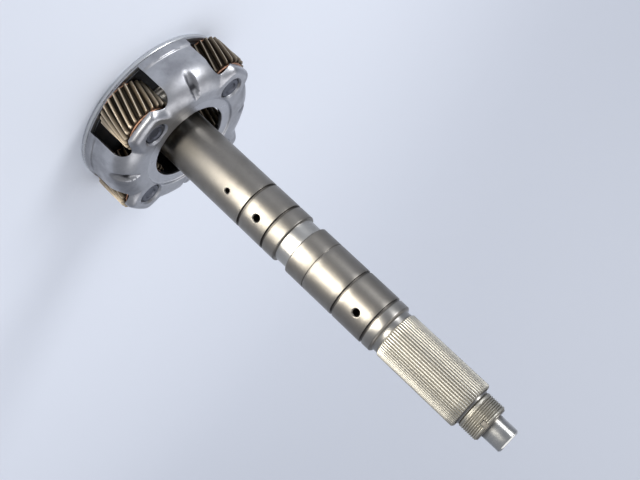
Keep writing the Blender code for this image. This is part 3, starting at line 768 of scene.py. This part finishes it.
@dataclass
class Cover(Piece):
    """The stamped carrier cover: a cup with four lobes, four windows, a raised ring and pressed dimples.

    Outside and inside are one section, measured by a knot number s, that changes with the angle by
    the lobe weight. Knots 0 to 3 cross the ring, 3 to 4 the pad, 4 to 5 the round shoulder, 5 to 6
    the wall, 6 to 7 the flare and 7 to 8 the foot. Each eighth of the cup is a block above the
    window, a fan that follows the window's outline to the middle of the web, and a foot block.
    """

    wall_radius: float = 61.4
    lobe_radius: float = 62.6
    foot_radius: float = 62.3
    wall: float = 3.9
    pad: float = 39.8
    under: float = 35.2
    ring: float = 38.5
    opening: float = 30.0
    ring_edge: float = 37.0
    pad_edge: float = 38.8
    flare_top: float = 10.1
    flare_foot: float = 8.9
    web_round: float = 17.0
    lobe_round: float = 4.6
    half_window: float = 27.0
    ear: float = 9.0
    ear_top: float = 35.6
    lip: float = 33.2
    sill: float = 4.5
    foot: float = 3.5
    lip_lines: int = 14
    ear_lines: int = 12
    web_lines: int = 28
    arc_rows: int = 12
    side_rows: int = 16
    web_knot: float = 4.22
    dimple_knot: float = 4.42
    dimple_half: float = 11.0
    dimple_depth: float = 2.3
    dimple_edge: float = 1.15
    dimple_width: float = 3.7
    dimple_flare: float = 0.09

    def weight(self, angle: Array) -> Array:
        """Return 1 near a pin, 0 between pins, with a smooth step from 8 to 20 degrees."""
        return 1.0 - smooth((np.degrees(abs(angle)) - 8.0) / 12.0)

    def shoulder(self, weight: Array) -> Arrays:
        """Return the outer wall's radius and the shoulder's rounding at a lobe weight."""
        rim = self.wall_radius + weight * (self.lobe_radius - self.wall_radius)
        return rim, self.web_round + weight * (self.lobe_round - self.web_round)

    def section(self, angle: Array, s: Array, inside: bool) -> Array:
        """Return points of the outer or inner surface from angles off the pin and knot numbers."""
        angle, s = np.broadcast_arrays(angle, s)
        rim, size = self.shoulder(self.weight(angle))
        foot, top, wall_foot = self.foot_radius, self.pad, self.wall_radius
        if inside:
            rim = np.full_like(rim, self.wall_radius - self.wall)
            size = np.maximum(size - self.wall, 1.0)
            foot, top, wall_foot = foot - self.wall, self.under, self.wall_radius - self.wall
        centre_r, centre_z = rim - size, top - size
        t = s - np.floor(s)
        t = np.where(s >= 8.0, 1.0, t)
        k = np.minimum(np.floor(s), 7.0)
        arc = (1.0 - t) * pi / 2.0
        if inside:
            flat = self.opening + np.minimum(s, 4.0) / 4.0 * (centre_r - self.opening)
            radii = [flat] * 4
            heights = [np.full_like(s, top)] * 4
        else:
            radii = [
                np.full_like(s, self.opening),
                self.opening + t * (self.ring_edge - self.opening),
                self.ring_edge + t * (self.pad_edge - self.ring_edge),
                self.pad_edge + t * (centre_r - self.pad_edge),
            ]
            heights = [
                self.under + t * (self.ring - self.under),
                np.full_like(s, self.ring),
                self.ring + smooth(t) * (top - self.ring),
                np.full_like(s, top),
            ]
        radii += [
            centre_r + size * np.cos(arc),
            rim + t * (wall_foot - rim),
            wall_foot + smooth(t) * (foot - wall_foot),
            np.full_like(s, foot),
        ]
        heights += [
            centre_z + size * np.sin(arc),
            centre_z + t * (self.flare_top - centre_z),
            self.flare_top + t * (self.flare_foot - self.flare_top),
            self.flare_foot + t * (self.foot - self.flare_foot),
        ]
        radius = np.select([k == i for i in range(8)], radii)
        height = np.select([k == i for i in range(8)], heights)
        return polar(radius, angle, height)

    def knot(self, angle: Array, z: Array, inside: bool) -> Array:
        """Return the knot number at which the section reaches a height."""
        size = self.shoulder(self.weight(angle))[1]
        top = self.pad
        if inside:
            size = np.maximum(size - self.wall, 1.0)
            top = self.under
        centre = top - size
        rise = np.clip((z - centre) / size, 0.0, 1.0)
        high, low = self.flare_top, self.flare_foot
        values = [
            5.0 - np.arcsin(rise) / (pi / 2.0),
            5.0 + (centre - z) / (centre - high),
            6.0 + (high - z) / (high - low),
        ]
        return np.select([z >= centre, z >= high, z >= low], values, 7.0 + (low - z) / (low - self.foot))

    def edge(self, y: Array, z: Array, inside: bool) -> Arrays:
        """Return the angles and knots of a window edge, found by repeated division by the radius."""
        angle = np.arcsin(y / 60.0)
        for _ in range(30):
            s = self.knot(angle, z, inside)
            point = self.section(angle, s, inside)
            radius = np.hypot(point[..., 0], point[..., 1])
            angle = np.arcsin(np.clip(y / radius, 0.0, 0.99))
        return angle, self.knot(angle, z, inside)

    def eighth(self, inside: bool) -> dict[str, Array]:
        """Return the blocks of one eighth as angles and knots.

        The window's outline runs along the lip, up and over the ear, which is a circle, and down the
        side. The block above it has the lip and the ear up to its top, and the fan has the rest.
        """
        corner, ear_z = self.half_window - self.ear, self.ear_top - self.ear
        turn = np.linspace(pi / 2.0, 0.0, self.arc_rows + 1)
        y = corner + self.ear * np.cos(turn)
        z = ear_z + self.ear * np.sin(turn)
        low = np.linspace(z[-1], self.sill, self.side_rows + 1)[1:]
        y = np.concatenate([y, np.full(len(low), self.half_window)])
        z = np.concatenate([z, low])
        edge_angle, edge_knot = self.edge(y, z, inside)
        last = self.knot(np.array([EIGHTH]), np.array([self.sill]), inside)[0]
        share = np.linspace(0.0, 1.0, len(y))
        middle_knot = self.web_knot + (last - self.web_knot) * share ** 1.25
        u = np.linspace(0.0, 1.0, self.web_lines + 1)
        web_angle = edge_angle[:, None] + (EIGHTH - edge_angle)[:, None] * u
        web_knot = edge_knot[:, None] + (middle_knot - edge_knot)[:, None] * u
        web = np.stack([web_angle, web_knot], -1)
        last_turn = pi - math.asin((self.lip - ear_z) / self.ear)
        over_ear = np.linspace(last_turn, pi / 2.0, self.ear_lines + 1)
        lip_y = np.linspace(0.0, corner + self.ear * math.cos(last_turn), self.lip_lines + 1)[:-1]
        lip_y = np.concatenate([lip_y, corner + self.ear * np.cos(over_ear)])
        lip_z = np.concatenate([np.full(self.lip_lines, self.lip), ear_z + self.ear * np.sin(over_ear)])
        lip_angle, lip_knot = self.edge(lip_y, lip_z, inside)
        bottom_angle = np.concatenate([lip_angle[:-1], web[0, :, 0]])
        bottom_knot = np.concatenate([lip_knot[:-1], web[0, :, 1]])
        if inside:
            start = np.linspace(0.0, 4.0, 14, endpoint=False)
            over = np.linspace(0.0, 1.0, 5)
        else:
            ring = [0.0, 0.5, 1.0, 1.17, 1.33, 1.5, 1.67, 1.83, 2.0, 2.2, 2.4, 2.6, 2.8, 3.0]
            start = np.concatenate([ring, np.linspace(3.0, 4.0, 13)[1:-1]])
            over = np.linspace(0.0, 1.0, 11)
        flat_knots = np.repeat(start[:, None], len(bottom_knot), 1)
        knots = np.concatenate([flat_knots, 4.0 + (bottom_knot - 4.0)[None, :] * over[:, None]])
        flat_angle = np.linspace(0.0, EIGHTH, len(bottom_angle))
        blend = smooth(np.linspace(0.0, 1.0, len(knots)))[:, None]
        angles = flat_angle[None, :] * (1.0 - blend) + bottom_angle[None, :] * blend
        foot_y = np.linspace(0.0, 1.0, self.lip_lines + 1) * web[-1, 0, 0]
        foot_angle = np.concatenate([foot_y[:-1], web[-1, :, 0]])
        down = np.linspace(last, 8.0, 4)
        foot = np.stack(np.broadcast_arrays(foot_angle[None, :], down[:, None]), -1)
        return {"top": np.stack([angles, knots], -1), "web": web, "foot": foot}

    def mesh(self) -> Mesh:
        """Return the cup with bevelled window edges and chamfered pin holes."""
        outer = {
            name: self.dimpled(self.section(block[..., 0], block[..., 1], False), block)
            for name, block in self.eighth(False).items()
        }
        inner = {
            name: self.section(block[..., 0], block[..., 1], True)
            for name, block in self.eighth(True).items()
        }
        lip = self.lip_lines + 1
        top = self.lip_lines + self.ear_lines + 1
        strips = [
            np.stack([outer["web"][:, 0], inner["web"][:, 0]]),
            np.stack([outer["top"][-1, :top], inner["top"][-1, :top]]),
            np.stack([outer["foot"][0, :lip], inner["foot"][0, :lip]]),
            np.stack([outer["foot"][-1], inner["foot"][-1]]),
        ]
        shell = Shell()
        for quarter in range(4):
            cos, sin = math.cos(pin_angle(quarter)), math.sin(pin_angle(quarter))
            turn = np.array([[cos, -sin, 0.0], [sin, cos, 0.0], [0.0, 0.0, 1.0]])
            for mirror in (1.0, -1.0):
                flip = turn @ np.diag([1.0, mirror, 1.0])
                for patch in (*outer.values(), *inner.values(), *strips):
                    shell.grid(patch @ flip.T)
        mesh = bevelled(shell.mesh(self.name), 0.45, 50.0)
        return carve(mesh, [self.hole(index) for index in range(4)])

    def dimpled(self, points: Array, block: Array) -> Array:
        """Press the dimple in: a long oval across the shoulder in the middle of the web, wider outside.

        The depth falls with the square of the distance from the dimple's middle line.
        """
        along = (block[..., 1] - self.dimple_knot) * self.web_round * pi / 2.0
        across = (EIGHTH - block[..., 0]) * np.hypot(points[..., 0], points[..., 1])
        width = self.dimple_width + self.dimple_flare * along
        q = (along / self.dimple_half) ** 2 + (across / width) ** 2
        depth = self.dimple_depth * smooth(self.dimple_edge - q) * (q < self.dimple_edge)
        lean = (1.0 - np.clip(block[..., 1] - 4.0, 0.0, 1.0)) * pi / 2.0
        normal = polar(np.cos(lean), block[..., 0], np.sin(lean))
        return points - normal * depth[..., None]

    def hole(self, index: int) -> Mesh:
        """Return the cutter of one pin hole with a chamfered mouth."""
        top = self.pad
        outline = [
            (0.0, top + 3.0, 0.0), (12.4, top + 3.0, 0.0), (9.35, top, 0.4),
            (PIN_HOLE + 0.05, top - 1.5, 0.3), (PIN_HOLE, 30.0, 0.0), (0.0, 30.0, 0.0),
        ]
        return Shell().turned(rounded(outline), 72, pin_centre(index)).mesh("pin_hole")

    def wear_and_highlight(self, points: Array) -> Arrays:
        """Return a painted highlight on the raised ring and painted shade on walls below the outer surface.

        A point gets painted shade by how deep it lies under the outer surface, along the radius or down from
        the pad, whichever is less. In the middle of a web the pressed dimple gets only a little painted
        shade.
        """
        radius = off_axis(points)
        z = points[:, 2]
        turn = np.arctan2(points[:, 1], points[:, 0])
        off_pin = (turn + EIGHTH) % (pi / 2.0) - EIGHTH
        rim, size = self.shoulder(self.weight(off_pin))
        rise = np.maximum(z - self.pad + size, 0.0)
        outer = rim - size + np.sqrt(np.maximum(size * size - rise * rise, 0.0))
        deep = np.minimum(outer - radius, self.pad - z - 1.2)
        web = abs(off_pin) > radians(33.0)
        # Painted shade on the webs, lighter for the pressed dimple.
        painted_web_shade = 0.4 * smooth((deep - 0.3) / 1.6) + 0.6 * smooth((deep - 2.6) / 0.7)
        under = np.where(web, painted_web_shade, smooth((deep - 0.5) / 0.7))
        # Painted highlight on the raised ring, which is also smoother; the pad faces above 39.2 mm are a
        # little brighter.
        ring = (radius < self.ring_edge + 0.6) & (z > self.ring - 0.6)
        return np.where(ring, 0.6, smooth((z - 39.2) / 0.5) * 0.15), under * 0.97


@dataclass
class BackPlate(Piece):
    """The round back plate with its bore, its shoulder and four pin holes."""

    edge_from: float = 61.5
    hidden_to: float = 57.9
    hidden_above: float = 3.4

    def wear_and_highlight(self, points: Array) -> Arrays:
        """Return a bright edge, machined metal with a painted highlight, and painted shade on the face
        inside the carrier.
        """
        radius = off_axis(points)
        # Painted shade on the face inside the carrier; painted highlight on the machined edge.
        hidden = (points[:, 2] > self.hidden_above) & (radius < self.hidden_to)
        return np.where(radius > self.edge_from, 0.8, 0.0), np.where(hidden, 0.9, 0.0)

    def mesh(self) -> Mesh:
        """Return the turned plate with its holes."""
        outline = [
            (42.0, 4.5, 0.0), (57.5, 4.5, 0.2), (58.1, 3.9, 0.2), (58.1, 3.2, 0.2), (61.9, 3.2, 0.3),
            (62.5, 2.6, 0.3), (62.5, 0.6, 0.3), (61.9, 0.0, 0.3), (27.3, 0.0, 0.2), (26.3, 1.0, 0.2),
            (26.3, 3.8, 0.2), (27.0, 4.5, 0.2), (42.0, 4.5, 0.0),
        ]
        tool = rounded(
            [(0.0, 8.0, 0.0), (PIN_HOLE, 8.0, 0.0), (PIN_HOLE, 0.7, 0.2), (9.6, -1.0, 0.0), (0.0, -1.0, 0.0)]
        )
        plate = Shell().turned(rounded(outline), 160).mesh(self.name)
        return carve(plate, [Shell().turned(tool, 64, pin_centre(i)).mesh("plate_hole") for i in range(4)])


@dataclass
class Turned(Piece):
    """A plain turned piece about a pin."""

    outline: tuple[Triple, ...] = ()
    centre: Pair = (0.0, 0.0)
    columns: int = 96

    def mesh(self) -> Mesh:
        """Return the turned piece."""
        return Shell().turned(rounded(self.outline), self.columns, self.centre).mesh(self.name)


@dataclass
class Pinion(Piece):
    """A helical pinion: right-hand teeth with rounded flanks, tip chamfers and a plain bore."""

    centre: Pair = (0.0, 0.0)
    phase: float = 0.0
    teeth: int = 23
    tip: float = 19.6
    root: float = 16.1
    bottom: float = 5.9
    top: float = 31.5
    bore: float = 10.8
    helix: float = 17.8
    across: int = 18
    face_edge: float = 15.6
    chamfer: float = 0.6

    def tooth(self, share: Array) -> Array:
        """Return the height of the tooth from 0 to 1: a flat tip, curved flanks and a round root."""
        offset = abs((share + 0.5) % 1.0 - 0.5) * 2.0
        flank = np.clip((offset - 0.12) / 0.60, 0.0, 1.0)
        return 1.0 - flank ** 0.8 * (1.0 - 0.15 * (1.0 - flank))

    def mesh(self) -> Mesh:
        """Return the toothed rows, each turned on by the helix, closed along both faces and the bore."""
        count = self.teeth * self.across
        share = np.arange(count) / self.across
        height = self.tooth(share)[None, :]
        z = np.concatenate([[self.bottom], np.linspace(self.bottom + 0.8, self.top - 0.8, 13), [self.top]])
        radius = np.repeat(self.root + height * (self.tip - self.root), len(z), 0)
        radius[[0, -1]] = np.minimum(radius[[0, -1]], self.tip - 0.9)
        pitch = (self.tip + self.root) / 2.0
        rise = math.tan(radians(self.helix)) / pitch
        twist = (z - self.bottom) * rise
        angle = self.phase + 2.0 * pi * share[None, :] / self.teeth + twist[:, None]
        rows = polar(radius, angle, z[:, None])
        faces = []
        for face, level, inward in ((0, self.bottom, self.chamfer), (-1, self.top, -self.chamfer)):
            rings = ((self.face_edge, level), (self.bore + self.chamfer, level), (self.bore, level + inward))
            faces.append([polar(ring, angle[face], height) for ring, height in rings])
        loop = np.array([*faces[0][::-1], *rows, *faces[1], faces[0][-1]])
        return Shell().grid(loop + np.array([*self.centre, 0.0]), around=True).mesh(self.name, 38.0)

    def wear_and_highlight(self, points: Array) -> Arrays:
        """Return brighter tooth tips, partly wear and partly painted highlight, and painted shade in the
        roots.
        """
        radius = off_axis(points, self.centre)
        share = (radius - self.root) / (self.tip - self.root)
        return smooth((share - 0.9) / 0.1) * 0.95, smooth((0.9 - share) / 0.65) * 0.95


# The studio


@dataclass(frozen=True)
class Lamp:
    """A soft area light that looks at a point, all in millimetres."""

    name: str
    place: Triple
    target: Triple
    size: Pair
    watts: float
    colour: Colour = (1.0, 1.0, 1.0)
    spread: float = 180.0

    def add(self) -> None:
        """Add the lamp, unseen by the camera itself."""
        data = bpy.data.lights.new(self.name, "AREA")
        data.shape = "RECTANGLE"
        data.size, data.size_y = (s * MM for s in self.size)
        data.energy = self.watts
        data.color = self.colour
        data.spread = radians(self.spread)
        item = placed(self.name, data)
        turn = (Vector(self.target) - Vector(self.place)).to_track_quat("-Z", "Y")
        item.matrix_world = Matrix.Translation(Vector(self.place) * MM) @ turn.to_matrix().to_4x4()
        item.visible_camera = False


LAMPS = (
    Lamp("top_bank", (100.0, 250.0, 1500.0), (0.0, 150.0, 0.0), (2200.0, 1500.0), 15.0, (0.98, 0.98, 1.0)),
    Lamp("low_bank", (85.3, -694.8, 12.0), (85.3, -694.8, 512.0), (400.0, 900.0), 21.0, (1.0, 0.96, 0.87)),
    Lamp(
        "rim_bank", (-1000.0, -250.0, 420.0), (0.0, 0.0, 60.0), (300.0, 700.0), 1.45, (0.95, 0.97, 1.0), 70.0
    ),
)


@dataclass(frozen=True)
class Studio:
    """A pale floor that sweeps up behind the object, soft lamps and a pale world."""

    floor: Colour = (0.75, 0.78, 0.84)
    world: Colour = (0.86, 0.90, 1.0)
    world_strength: float = 0.42

    def sweep(self) -> Item:
        """Add the floor as one smooth sheet: flat past the object, then a quarter round, then a wall."""
        turn = np.linspace(0.0, pi / 2.0, 25)
        reach, size, tall = 700.0, 900.0, 3000.0
        y = np.concatenate([[-6000.0, -3000.0, 0.0], reach + size * np.sin(turn), [reach + size]])
        z = np.concatenate([[0.0, 0.0, 0.0], size * (1.0 - np.cos(turn)), [tall]])
        x = np.linspace(-5000.0, 5000.0, 9)
        points = np.stack(np.broadcast_arrays(x[None, :], y[:, None], z[:, None]), -1)
        mesh = Shell().grid(points).mesh("studio_floor", 60.0)
        item = placed("studio_floor", mesh)
        item.location = (0.0, 0.0, -0.00002)
        return item

    def paint(self, item: Item) -> None:
        """Give the floor a matt pale paper with a faint mottle."""
        graph = Graph("studio_paper")
        mottle = graph.noise(graph.position(), 3.0, 3.0)
        pale = graph.mix(mottle, self.floor, tuple(c * 0.985 for c in self.floor))
        material = graph.finish({"Base Color": pale, "Roughness": 0.92, "Specular IOR Level": 0.1})
        item.data.materials.append(material)

    def light(self) -> None:
        """Add the world and the lamps."""
        world = bpy.data.worlds.new("studio_air")
        world.use_nodes = True
        back = world.node_tree.nodes["Background"]
        back.inputs["Color"].default_value = (*self.world, 1.0)
        back.inputs["Strength"].default_value = self.world_strength
        bpy.context.scene.world = world
        for lamp in LAMPS:
            lamp.add()


@dataclass(frozen=True)
class Viewpoint:
    """The photograph's camera.

    Its place, its axes as rows (right, down and forward), and its focal length in pixels of a
    640-pixel frame.
    """

    place: Triple = (-163.68957928, -638.48364137, 343.17037376)
    right: Triple = (-0.6171667813, 0.3525379051, 0.7034359882)
    down: Triple = (0.7547738991, 0.0126621002, 0.6558628153)
    forward: Triple = (0.2223095260, 0.9357118663, -0.2739010368)
    focal: float = 1037.194

    def add(self) -> None:
        """Add the camera and make it the scene's own."""
        data = bpy.data.cameras.new("studio_camera")
        data.sensor_width = 36.0
        data.lens = self.focal * data.sensor_width / 640.0
        data.clip_start, data.clip_end = 0.01, 50.0
        item = placed("studio_camera", data)
        turn = Matrix([Vector(self.right), -Vector(self.down), -Vector(self.forward)]).transposed()
        item.matrix_world = Matrix.Translation(Vector(self.place) * MM) @ turn.to_4x4()
        bpy.context.scene.camera = item


# Assembly

NEEDLES = Steel(
    "needle_set_steel", "needle_steel", (0.68, 0.68, 0.68), (0.5, 0.5, 0.5), (0.2, 0.2, 0.2),
    rough=0.14, spread=0.1,
)
BRONZE = Steel(
    "washer_bronze", "bronze", (0.62, 0.34, 0.22), (0.40, 0.22, 0.14), (0.12, 0.07, 0.05),
    rough=0.26, spread=0.2,
)


def gear_finish(index: int, centre: Pair) -> Steel:
    """Return the tempered finish of one pinion, its marks laid about its own axis; two are darkened as
    painted shade.
    """
    # Painted shade: pinions 3 and 4 get their colours darkened to 0.45.
    painted_shade_factor = 0.45 if index > 2 else 1.0
    return Steel(
        "tempered_teeth_%d" % index,
        "gear_steel",
        tuple(painted_shade_factor * c for c in (0.66, 0.55, 0.40)),
        tuple(painted_shade_factor * c for c in (0.38, 0.29, 0.205)),
        (0.03, 0.022, 0.016),
        rough=0.34, spread=0.16, grain=Grain.HOBBED, grain_depth=0.006, centre=centre,
    )


def planet_pieces(index: int) -> list[Piece]:
    """Return the pin, the pinion and the washers of one planet.

    Args:
        index: the planet's number, from 1.

    Returns:
        The pieces, placed on the pin circle.
    """
    pin = (
        (0.0, 38.0, 0.0), (3.7, 38.0, 0.3), (4.6, 38.9, 0.3), (6.9, 38.9, 0.3), (7.6, 38.2, 0.3),
        (7.6, 1.0, 0.3), (6.9, 0.3, 0.3), (0.0, 0.3, 0.0),
    )
    number = str(index)
    centre = pin_centre(index - 1)
    pieces: list[Piece] = [Turned("pin_" + number, ("pinion_pin_" + number,), "carrier", PIN, pin, centre)]
    for name, node, low, high in (("high", "front", 31.8, 32.9), ("low", "rear", 4.8, 5.6)):
        section = (
            (12.0, high, 0.0), (16.4, high, 0.25), (16.4, low, 0.25),
            (PIN_HOLE, low, 0.15), (PIN_HOLE, high, 0.15), (12.0, high, 0.0),
        )
        nodes = (node + "_washer_" + number,)
        pieces.append(Turned("washer_%s_%s" % (name, number), nodes, "carrier", BRONZE, section, centre))
    finish = gear_finish(index, centre)
    lean = pin_angle(index - 1)
    nodes = ("pinion_" + number,)
    pieces.append(Pinion("planet_gear_" + number, nodes, "planet_" + number, finish, centre, lean))
    return pieces


def build_object() -> None:
    """Build every piece of the object in order."""
    shaft = ("output_shaft",)
    pieces: list[Piece] = [
        ShaftBody("shaft_body", shaft, "carrier", GROUND),
        SplineSleeve("shaft_spline", shaft, "carrier", SPLINED),
        ThreadSleeve("shaft_thread", shaft, "carrier", SPLINED),
        BackPlate("back_plate", ("carrier_plate",), "carrier", PLATE),
        Cover("planet_cover", ("carrier_cover",), "carrier", STAMPED),
    ]
    for index in range(1, 5):
        pieces += planet_pieces(index)
    for piece in pieces:
        piece.add()
    for index in range(1, 5):
        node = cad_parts["needle_cage_%d" % index]
        for slot in node.material_slots:
            slot.material = material_of(NEEDLES)
        LOG.info("%s keeps its packed shape", node.name)


def main() -> None:
    """Build the object and the studio."""
    logging.basicConfig(level=logging.INFO, format="%(message)s")
    build_object()
    studio = Studio()
    studio.paint(studio.sweep())
    studio.light()
    Viewpoint().add()
    bpy.context.scene.view_settings.view_transform = "Standard"


if __name__ == "__main__":
    main()
